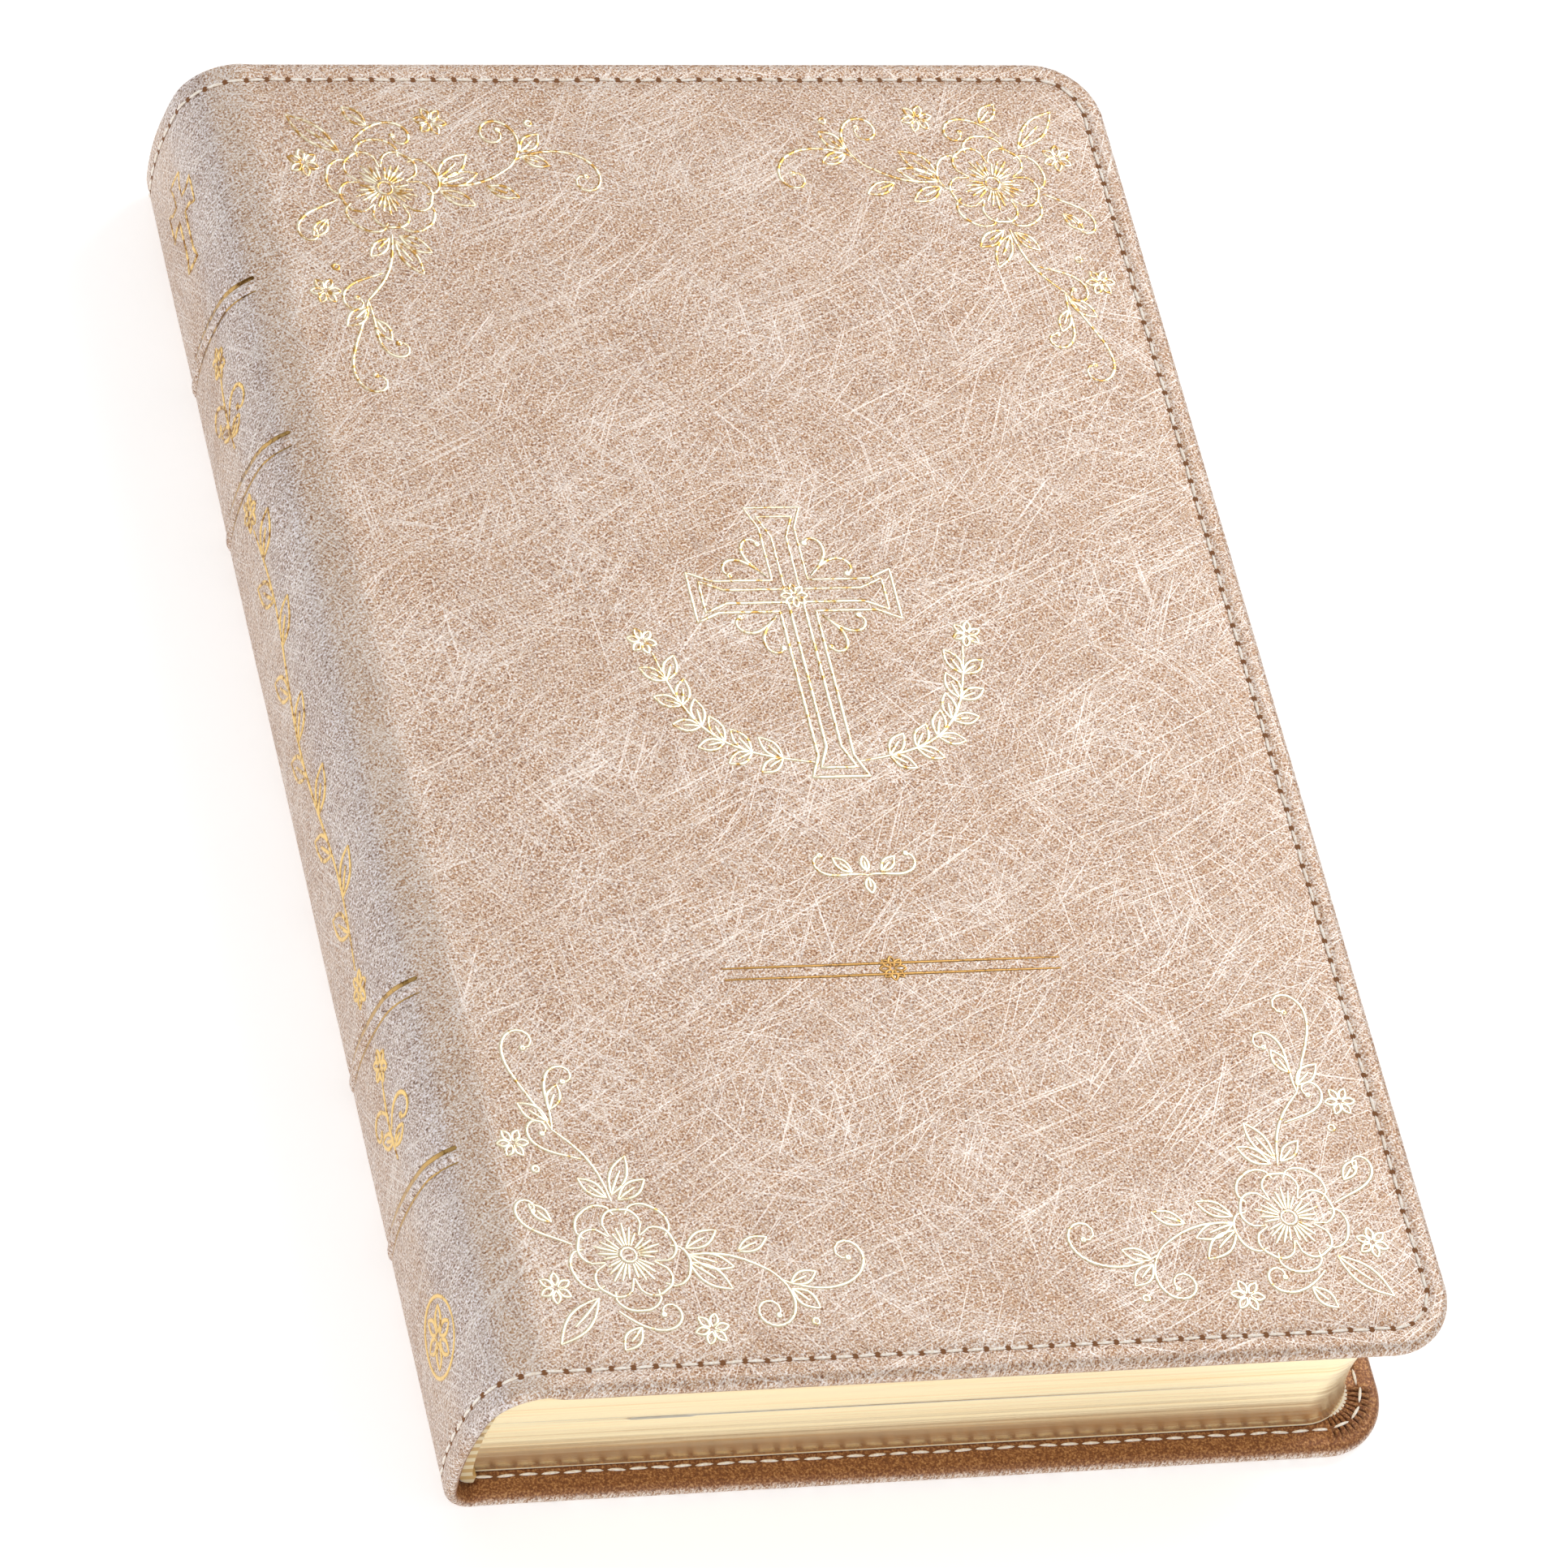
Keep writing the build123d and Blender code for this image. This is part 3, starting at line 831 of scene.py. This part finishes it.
# %% Stamp the front cover
def on_cover(x, y):
    """A place on the flat case, given from the spine's outside and from the tail of the front cover."""
    return (x + LEFT - case_profile(way_to_cover(1))[0] + way_to_cover(1), y + TAIL)


SPRAYS = ((26.2, 199.0, 1, -1), (120.8, 199.4, -1, -1), (24.0, 20.6, 1, 1), (121.1, 21.6, -1, 1))
stamp([line for x, y, across, up in SPRAYS for line in placed(corner_spray(), on_cover(x, y), across, up)],
      "corner_sprays", COVER_FOIL, 0.58)
stamp(placed(cover_centre(), on_cover(72.5, 119)) + placed(flourish(), on_cover(72.5, 79.6)),
      "cover_cross", COVER_FOIL, 0.62)
rule = [[(-25.0, 0.9), (25.0, 0.9)], [(-25.0, -0.9), (25.0, -0.9)]]
stamp(placed(rule + blossom((0, 0), 2.0, 8), on_cover(72.6, 64.2)), "pressed_rule", PRESSED_FOIL, 0.5)

# %% Stamp the spine
run = [BAND_ENDS[0] + n * 0.5 for n in range(61)]
for groove, name, width in ((UPPER_GROOVE, "band_upper_lines", 1.0),
                            (LOWER_GROOVE, "band_lower_lines", 0.45)):
    stamp([[(way, band + groove[0]) for way in run] for band in BANDS], name, BAND_FOIL, width)
stamp(placed(sprig(), (2.0, 60), size=1.15) + placed(sprig(), (2.0, -58), size=1.15)
      + placed(vine(64.0, 10), (2.0, 1), size=1.15) + placed(cross(15.0, 10.5, 2.8, (0.0,)), (2.0, 92))
      + placed(blossom((0, 0), 4.4, 6) + [ring((0, 0), 5.6, 24)], (2.0, -94)),
      "spine_ornaments", SPINE_FOIL, 0.72)

# %% [markdown]
# ## Gilt pages
# The pages are two blocks, one on each side of the middle opening. Their spine is round and their fore
# edge hollow by the same bend, because rounding the back pushes each sheet a little further than the
# next. A block starts as a cube, its fore corners are rounded, and it is sliced into thin levels that
# slide along to the curve. The trimmed edges are gilt: gold leaf on the ends of about a thousand sheets,
# so the light breaks into streaks along the pages.

# %% Gilt and paper
def gilt_edge():
    """Burnished gold leaf on packed paper: metallic, with streaks that follow the sheets."""
    made, tree, shader = material("gilt_page_edge")
    flat = add(tree, "Attribute", {"attribute_name": "flat"}).outputs["Vector"]
    along = add(tree, "Mapping", {}, {"Vector": flat, "Scale": (14.0, 14.0, 2600.0)})
    sheets = add(tree, "TexNoise", {}, {"Vector": along, "Scale": 1.0, "Detail": 3.0, "Roughness": 0.7})
    wide = add(tree, "Mapping", {}, {"Vector": flat, "Scale": (9.0, 9.0, 330.0)})
    drift = add(tree, "TexNoise", {}, {"Vector": wide, "Scale": 1.0, "Detail": 2.0})
    both = add(tree, "Math", {"operation": "ADD"}, {0: sheets, 1: drift})
    colour = add(tree, "ValToRGB", {"ramp": [(0.75, "#F8D9A0"), (1.0, "#FFEFC6")]}, {0: both})
    bump = add(tree, "Bump", {}, {"Strength": 0.22, "Distance": 0.00008, "Height": both})
    feed(tree, shader, Base_Color=colour, Metallic=0.9, Roughness=0.27, Normal=bump)
    return made


def bible_paper(printed):
    """Thin opaque paper, a little warm. The print is two columns of plain grey dashes and no letters."""
    made, tree, shader = material("printed_bible_paper" if printed else "plain_bible_paper")
    flat = add(tree, "Attribute", {"attribute_name": "flat"}).outputs["Vector"]
    fibre = add(tree, "TexNoise", {}, {"Vector": flat, "Scale": 700.0, "Detail": 4.0})
    paper = add(tree, "ValToRGB", {"ramp": [(0.3, "#EDE6D6"), (0.7, "#F6F1E5")]}, {0: fibre})
    colour = paper
    if printed:
        place = add(tree, "SeparateXYZ", {}, {0: flat})
        row = add(tree, "Math", {"operation": "FRACT"},
                  {0: add(tree, "Math", {"operation": "MULTIPLY"}, {0: place.outputs[1], 1: 300.0})})
        inked = add(tree, "Math", {"operation": "LESS_THAN"}, {0: row, 1: 0.42})
        stretched = add(tree, "Mapping", {}, {"Vector": flat, "Scale": (520.0, 300.0, 0.0)})
        words = add(tree, "TexNoise", {"noise_dimensions": "2D"}, {"Vector": stretched, "Scale": 1.0})
        word = add(tree, "Math", {"operation": "GREATER_THAN"}, {0: words, 1: 0.43})
        off_middle = add(tree, "Math", {"operation": "ABSOLUTE"},
                         {0: add(tree, "Math", {"operation": "ADD"}, {0: place.outputs[0], 1: 0.0015})})
        inner = add(tree, "Math", {"operation": "GREATER_THAN"}, {0: off_middle, 1: 0.0025})
        outer = add(tree, "Math", {"operation": "LESS_THAN"}, {0: off_middle, 1: 0.0530})
        far = add(tree, "Math", {"operation": "ABSOLUTE"}, {0: place.outputs[1]})
        ends = add(tree, "Math", {"operation": "LESS_THAN"}, {0: far, 1: 0.0945})
        ink = inked
        for mask in (word, inner, outer, ends):
            ink = add(tree, "Math", {"operation": "MULTIPLY"}, {0: ink, 1: mask})
        colour = toned(tree, ink, colour, linear("#3A3632"), 0.62)
    feed(tree, shader, Base_Color=colour, Roughness=0.75, Sheen_Weight=0.1)
    return made


GILT, PAPER, PRINT = gilt_edge(), bible_paper(False), bible_paper(True)

# %% The blocks' curves
BLOCK_DEPTH = 2.6  # from the spine's outside to the pages
HOLLOW = 2.2  # of the fore edge
PAGES_FROM = LEFT + 4  # a straight stack starts here, before its levels slide to the round back
PAGE_CORNER = 8.0
block_low, block_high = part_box("signature_24")[0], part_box("signature_01")[1]
PAGE_FORE, PAGE_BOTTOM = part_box("signature_24")[1][0] / MM, block_low[2] / MM
PAGE_TAIL, PAGE_HEAD = block_low[1] / MM, block_high[1] / MM
TRIM = 0.06  # the knife leaves head and tail uneven by this much
RIBBON_ROOT, RIBBON_LEAN = 7.2, 22.8  # from the spine at the head, and how much further at the tail
CHANNEL_HALF = 4.2  # half the width of the ribbon's channel
MID = BOTTOM + HALF


def spine_of_block(z):
    """Where the pages start at a height."""
    lift = abs(z - MID)
    radius, turn, pivot = shoulder_arc(1 if z > MID else -1)
    if lift <= (BELLY - BLOCK_DEPTH) * math.sin(turn):
        return MIDDLE - math.sqrt((BELLY - BLOCK_DEPTH) ** 2 - lift**2)
    return pivot - math.sqrt(max(0, (radius - BLOCK_DEPTH) ** 2 - (lift - HALF + radius) ** 2))


def fore_of_block(z):
    """Where the pages end at a height."""
    return PAGE_FORE - HOLLOW * (1 - min(1, abs(z - MID) / (MID - PAGE_BOTTOM)) ** 2)


def pages(bottom, top, levels, slices=(), rows=()):
    """A stack of pages between two heights, gilt on its trimmed edges."""
    bm = bmesh.new()
    bmesh.ops.create_cube(bm, size=1)
    bmesh.ops.scale(bm, verts=bm.verts, vec=(PAGE_FORE - PAGES_FROM, PAGE_HEAD - PAGE_TAIL, top - bottom))
    centre = ((PAGE_FORE + PAGES_FROM) / 2, (PAGE_HEAD + PAGE_TAIL) / 2, (top + bottom) / 2)
    bmesh.ops.translate(bm, verts=bm.verts, vec=centre)
    upright = [e for e in bm.edges if abs(e.verts[0].co.z - e.verts[1].co.z) > 0.01]
    bmesh.ops.bevel(bm, geom=[e for e in upright if e.verts[0].co.x > 0], offset=PAGE_CORNER, segments=10,
                    profile=0.5, affect="EDGES", material=-1)
    slice_grid(bm, slices, 0)
    slice_grid(bm, rows, 1)
    slice_grid(bm, [bottom + (top - bottom) * n / levels for n in range(1, levels)], 2)
    return bm


def to_metres(bm):
    """Takes a piece to metres, and keeps each point's place for the materials."""
    store = bm.verts.layers.float_vector.new("flat")
    for v in bm.verts:
        v[store] = v.co * MM
        v.co *= MM


def lay_pages(bm, name, faces, channel=0.0):
    """Slides a stack's levels to the block's curves and gives each face its finish. A channel makes room
    for the ribbon, up into the sheet's underside or down into the top of the rear block."""
    for face in bm.faces:
        face.normal_update()
        face.material_index = 1 if abs(face.normal.z) > 0.9 else 0
    heights = [v.co.z for v in bm.verts]
    level = min(heights) if channel > 0 else max(heights)
    for v in bm.verts:
        x, y, z = v.co
        share = (x - PAGES_FROM) / (PAGE_FORE - PAGES_FROM)
        near, far = spine_of_block(z) - PAGES_FROM, fore_of_block(z) - PAGE_FORE
        v.co.x = x + near * smooth(0.25, 0, share) + far * smooth(0.75, 1, share)
        by_ribbon = abs(x - ribbon_middle(y)) < CHANNEL_HALF and (channel > 0 or y < PAGE_TAIL + 4)
        if channel and abs(z - level) < 0.01 and by_ribbon:
            v.co.z += channel
        if abs(y) > 100:
            v.co.y -= math.copysign(TRIM * (1 + noise.noise(Vector((x / 30, 0, z * 1.7)))), y)
    to_metres(bm)
    made = piece(bm, name, *faces, smoothed=0.5)
    return made


def ribbon_middle(y):
    """The ribbon lies aslant: near the spine at the head, further out at the tail."""
    share = (PAGE_HEAD - y) / (PAGE_HEAD - PAGE_TAIL)
    return LEFT + RIBBON_ROOT + RIBBON_LEAN * share


# %% Two page blocks
LEVELS = 26
rear_top, front_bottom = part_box("signature_13")[1][2] / MM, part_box("signature_12")[0][2] / MM
beside = [ribbon_middle(PAGE_TAIL) + d for d in (-4.9, -4.1, 0, 4.1, 4.9)]
rear = pages(PAGE_BOTTOM, rear_top, LEVELS, beside, (PAGE_TAIL + 3, PAGE_TAIL + 9))
rear = lay_pages(rear, "pages_rear", (GILT, PAPER), -0.28)
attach(rear, "rear_half")
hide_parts(*[f"signature_{n}" for n in range(13, 25)])
front = lay_pages(pages(front_bottom, block_high[2] / MM, LEVELS), "pages_front", (GILT, PAPER))
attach(front, "front_half")
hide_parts(*[f"signature_{n:02d}" for n in range(1, 13)])
print("page blocks:", len(rear.data.polygons) + len(front.data.polygons), "faces")

# %% [markdown]
# ## The middle opening
# The book opens at its middle, where the sewing shows a folded sheet. That sheet is one piece here that
# runs from the rear block, round the fold and onto the front block. Three single leaves stand for the
# pages that fan; neither they nor the sheet are tied to a block here.

# %% Sheets at the opening
def bent_sheet(profile, ends, thickness, name, faces):
    """A sheet swept from one end to the other along a line of (x, z) places, its corners left square."""
    bm = bmesh.new()
    first = [bm.verts.new((profile[0][0], y, profile[0][1])) for y in ends]
    edges = [bm.edges.new(first)]
    for x, z in profile[1:]:
        grown = border(bmesh.ops.extrude_edge_only(bm, edges=edges)["geom"])
        edges = [e for e in grown if abs(e.verts[0].co.y - e.verts[1].co.y) > 1][:1]
        for v in edges[0].verts:
            v.co.x, v.co.z = x, z
    bmesh.ops.recalc_face_normals(bm, faces=bm.faces)
    bmesh.ops.solidify(bm, geom=bm.faces[:], thickness=thickness)
    to_metres(bm)
    return piece(bm, name, *faces)


def half_turn(x, z, radius, steps=24):
    """Places round a fold, from its lower ply to its upper one."""
    return [(x - radius * math.sin(math.pi * n / steps), z - radius * math.cos(math.pi * n / steps))
            for n in range(steps + 1)]


GUTTER = spine_of_block(MID) + 0.45
lift = (front_bottom - rear_top) / 2 - 0.03
PAGE_END = fore_of_block(MID) - 8.2
around = [(PAGE_END, MID - lift), (0, MID - lift), *half_turn(GUTTER, MID, lift),
          (0, MID + lift), (PAGE_END, MID + lift)]
spread = bent_sheet(around, (PAGE_TAIL + 0.1, PAGE_HEAD - 0.1), 0.02, "middle_sheet", (PRINT,))
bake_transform(spread)
curl, rows = [PAGES_FROM + n * 1.0 for n in range(1, 31)], [n * 10.0 for n in range(-10, 11)]
LEAF_HEIGHTS = ((rear_top + 0.045, 15.61), (15.63, 15.70), (15.72, front_bottom - 0.045))
for k, (low_z, high_z) in enumerate(LEAF_HEIGHTS, 1):
    cross_cuts, room = (rows, 0.36) if k == 1 else ((), 0.0)  # only the first leaf lies on the ribbon
    leaf_piece = pages(low_z, high_z, 1, curl, cross_cuts)
    leaf_piece = lay_pages(leaf_piece, f"turning_leaf_{k}", (GILT, PRINT), room)
    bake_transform(leaf_piece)
    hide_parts(f"loose_leaf_{k}")

# %% [markdown]
# ## The front endpaper
# A folded endpaper joins the front cover to the pages: one half is pasted in the cover, the other is the
# first page. When the cover swings, its fold rolls out over the joint. So it is one sheet, folded
# tightly in the closed book; its fold is not tied to either body here.

# %% Endpaper
def endpaper():
    """Uncoated cream stock, heavier than the pages and faintly mottled."""
    made, tree, shader = material("cream_endpaper")
    flat = add(tree, "TexCoord").outputs["Object"]
    fibre = add(tree, "TexNoise", {}, {"Vector": flat, "Scale": 900.0, "Detail": 5.0})
    colour = add(tree, "ValToRGB", {"ramp": [(0.35, "#E9DDC7"), (0.65, "#F0E7D6")]}, {0: fibre})
    bump = add(tree, "Bump", {}, {"Strength": 0.2, "Distance": 0.00003, "Height": fibre})
    feed(tree, shader, Base_Color=colour, Roughness=0.8, Normal=bump)
    return made


ENDPAPER = endpaper()
fly_top, paste_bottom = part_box("front_flyleaf")[1][2] / MM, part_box("front_pastedown")[0][2] / MM
joint_x = HINGE.x / MM
half_gap, middle_z = (paste_bottom - fly_top) / 2 - 0.01, (paste_bottom + fly_top) / 2
paste_ends = [corner[1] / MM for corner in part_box("front_pastedown")]
around = [(joint_x + 30, middle_z - half_gap), *half_turn(joint_x + 0.2, middle_z, half_gap),
          (joint_x + 30, middle_z + half_gap)]
hinge_paper = bent_sheet(around, (paste_ends[0] + 0.05, paste_ends[1] - 0.05), 0.01, "endpaper_fold",
                         (ENDPAPER,))
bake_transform(hinge_paper)

# %% [markdown]
# ## The ribbon marker
# A 7 mm double-faced satin ribbon is glued to the spine at the head and lies down the middle opening.
# At the tail it shows only as a dark slit between the gilt pages. It is a thin strip, modelled at its
# real thickness, with the slight waves that a pressed ribbon keeps.

# %% Ribbon
def satin():
    """Brown polyester satin: long floats along the ribbon give a soft sheen across it."""
    made, tree, shader = material("brown_satin_ribbon")
    flat = add(tree, "Attribute", {"attribute_name": "flat"}).outputs["Vector"]
    floats = add(tree, "Mapping", {}, {"Vector": flat, "Scale": (4000.0, 300.0, 1.0)})
    weave = add(tree, "TexNoise", {}, {"Vector": floats, "Scale": 1.0, "Detail": 1.0})
    colour = add(tree, "ValToRGB", {"ramp": [(0.35, "#2C1E0C"), (0.65, "#5A401E")]}, {0: weave})
    feed(tree, shader, Base_Color=colour, Roughness=0.5, Anisotropic=0.5, Sheen_Weight=0.08)
    return made


bm = bmesh.new()
ribbon_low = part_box("ribbon_marker")[0][2] / MM
RIBBON_LENGTH, RIBBON_WIDTH, RIBBON_THICKNESS = PAGE_HEAD - PAGE_TAIL - 0.25, 7.0, 0.14
bmesh.ops.create_grid(bm, x_segments=6, y_segments=90, size=0.5)
bmesh.ops.scale(bm, verts=bm.verts, vec=(RIBBON_WIDTH, RIBBON_LENGTH, 1))
bmesh.ops.translate(bm, verts=bm.verts, vec=(0, PAGE_HEAD - RIBBON_LENGTH / 2, ribbon_low + 0.16))
bmesh.ops.solidify(bm, geom=bm.faces[:], thickness=RIBBON_THICKNESS)
store = bm.verts.layers.float_vector.new("flat")
for v in bm.verts:
    v[store] = v.co * MM
    v.co.z += 0.02 * math.sin(v.co.y / 7.0)
    v.co.x += ribbon_middle(v.co.y)
    v.co *= MM
ribbon = piece(bm, "satin_ribbon", satin())
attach(ribbon, "ribbon")
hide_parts("ribbon_marker")

# %% [markdown]
# ## Inside the binding
# The card, linings, glue and sewing stay as the CAD made them and get their real finishes. They show
# only at the ends of the spine and when the book is open.

# %% Binding materials
def stock(name, dark, light, scale, rough, stretch=(1, 1, 1), relief=0.00005):
    """A plain sheet or thread whose fibre shows as a mottle."""
    made, tree, shader = material(name)
    place = add(tree, "Mapping", {}, {"Vector": add(tree, "TexCoord").outputs["Object"], "Scale": stretch})
    fibre = add(tree, "TexNoise", {}, {"Vector": place, "Scale": scale, "Detail": 4.0})
    colour = add(tree, "ValToRGB", {"ramp": [(0.35, dark), (0.65, light)]}, {0: fibre})
    bump = add(tree, "Bump", {}, {"Strength": 0.4, "Distance": relief, "Height": fibre})
    feed(tree, shader, Base_Color=colour, Roughness=rough, Normal=bump)
    return made


def striped_band():
    """Woven head band: pale and deep gold threads."""
    made, tree, shader = material("woven_head_band")
    wave = add(tree, "TexWave", {"bands_direction": "Z"},
               {"Vector": add(tree, "TexCoord").outputs["Object"], "Scale": 160.0, "Distortion": 0.3})
    colour = add(tree, "ValToRGB", {"ramp": [(0.40, "#CFA764"), (0.60, "#EBD8AE")]}, {0: wave})
    feed(tree, shader, Base_Color=colour, Roughness=0.55, Sheen_Weight=0.3)
    return made


finishes = {
    "board": stock("grey_board", "#8F8371", "#A89B87", 500.0, 0.85),
    "endpaper": ENDPAPER,
    "kraft": stock("kraft_paper", "#9A7448", "#B48A5C", 600.0, 0.8, (1, 0.3, 1)),
    "mull": stock("open_weave_mull", "#CFC8B6", "#EFEADC", 1500.0, 0.9, (1, 0.2, 1)),
    "glue": stock("dried_pva_glue", "#D9D2BA", "#EEE9D6", 200.0, 0.35),
    "thread": stock("linen_sewing_thread", "#DAD3C4", "#F2EDE2", 2500.0, 0.7),
    "end_band": striped_band(),
}
for row in frame["record"]["subparts"]:
    if row["material_slot"] in finishes:
        mesh = frame["nodes"][row["node"]].data
        mesh.materials.clear()
        mesh.materials.append(finishes[row["material_slot"]])

# %% [markdown]
# ## Floor, light and camera
# A pale floor and pale surroundings light the book evenly, as in a light tent, and one broad lamp from
# the upper right gives the pearl its sheen. The camera stands over the spine's tail end and looks down
# at the front cover through a long lens, so the book's edges stay almost parallel.

# %% Floor
def matte_floor():
    """White board in a light tent: it glows a little, so that the shade beside the book stays pale."""
    made, tree, shader = material("matte_white_floor")
    feed(tree, shader, Base_Color=linear("#E8E8E8"), Roughness=0.95, Specular_IOR_Level=0.0,
         Emission_Color=linear("#FFFFFF"), Emission_Strength=0.45)
    return made


bm = bmesh.new()
bmesh.ops.create_grid(bm, x_segments=1, y_segments=1, size=3.0)
bmesh.ops.translate(bm, verts=bm.verts, vec=(0, 0, size_before[0][2] - 0.0002))
floor = piece(bm, "floor", matte_floor())

# %% Lights
world = bpy.data.worlds.new("light_tent")
bpy.context.scene.world = world
world.use_nodes = True
world.node_tree.nodes["Background"].inputs["Color"].default_value = linear("#FFFFFF")
world.node_tree.nodes["Background"].inputs["Strength"].default_value = 0.62


def soft_light(name, place, power, size):
    """A square area light that faces the book."""
    lamp = bpy.data.lights.new(name, "AREA")
    lamp.energy, lamp.size = power, size
    made = bpy.data.objects.new(name, lamp)
    made.location = place
    made.rotation_euler = (-Vector(place)).to_track_quat("-Z", "Y").to_euler()
    bpy.context.collection.objects.link(made)


soft_light("window", (0.75, 0.55, 0.95), 6.0, 0.7)
soft_light("fill", (-0.8, -0.9, 0.75), 4.5, 0.8)

# %% Camera
camera = bpy.data.objects.new("camera", bpy.data.cameras.new("camera"))
bpy.context.collection.objects.link(camera)
camera.data.lens, camera.data.sensor_width = 213.8, 36.0
right, up = Vector((0.93408, -0.21670, 0.28379)), Vector((0.02652, 0.83470, 0.55007))
back = right.cross(up).normalized()
up = back.cross(right).normalized()
turn = Matrix((right, up, back)).transposed().to_4x4()
camera.matrix_world = Matrix.Translation((-0.47058, -0.67458, 1.05275)) @ turn
bpy.context.scene.camera = camera
bpy.context.scene.view_settings.view_transform = "Standard"
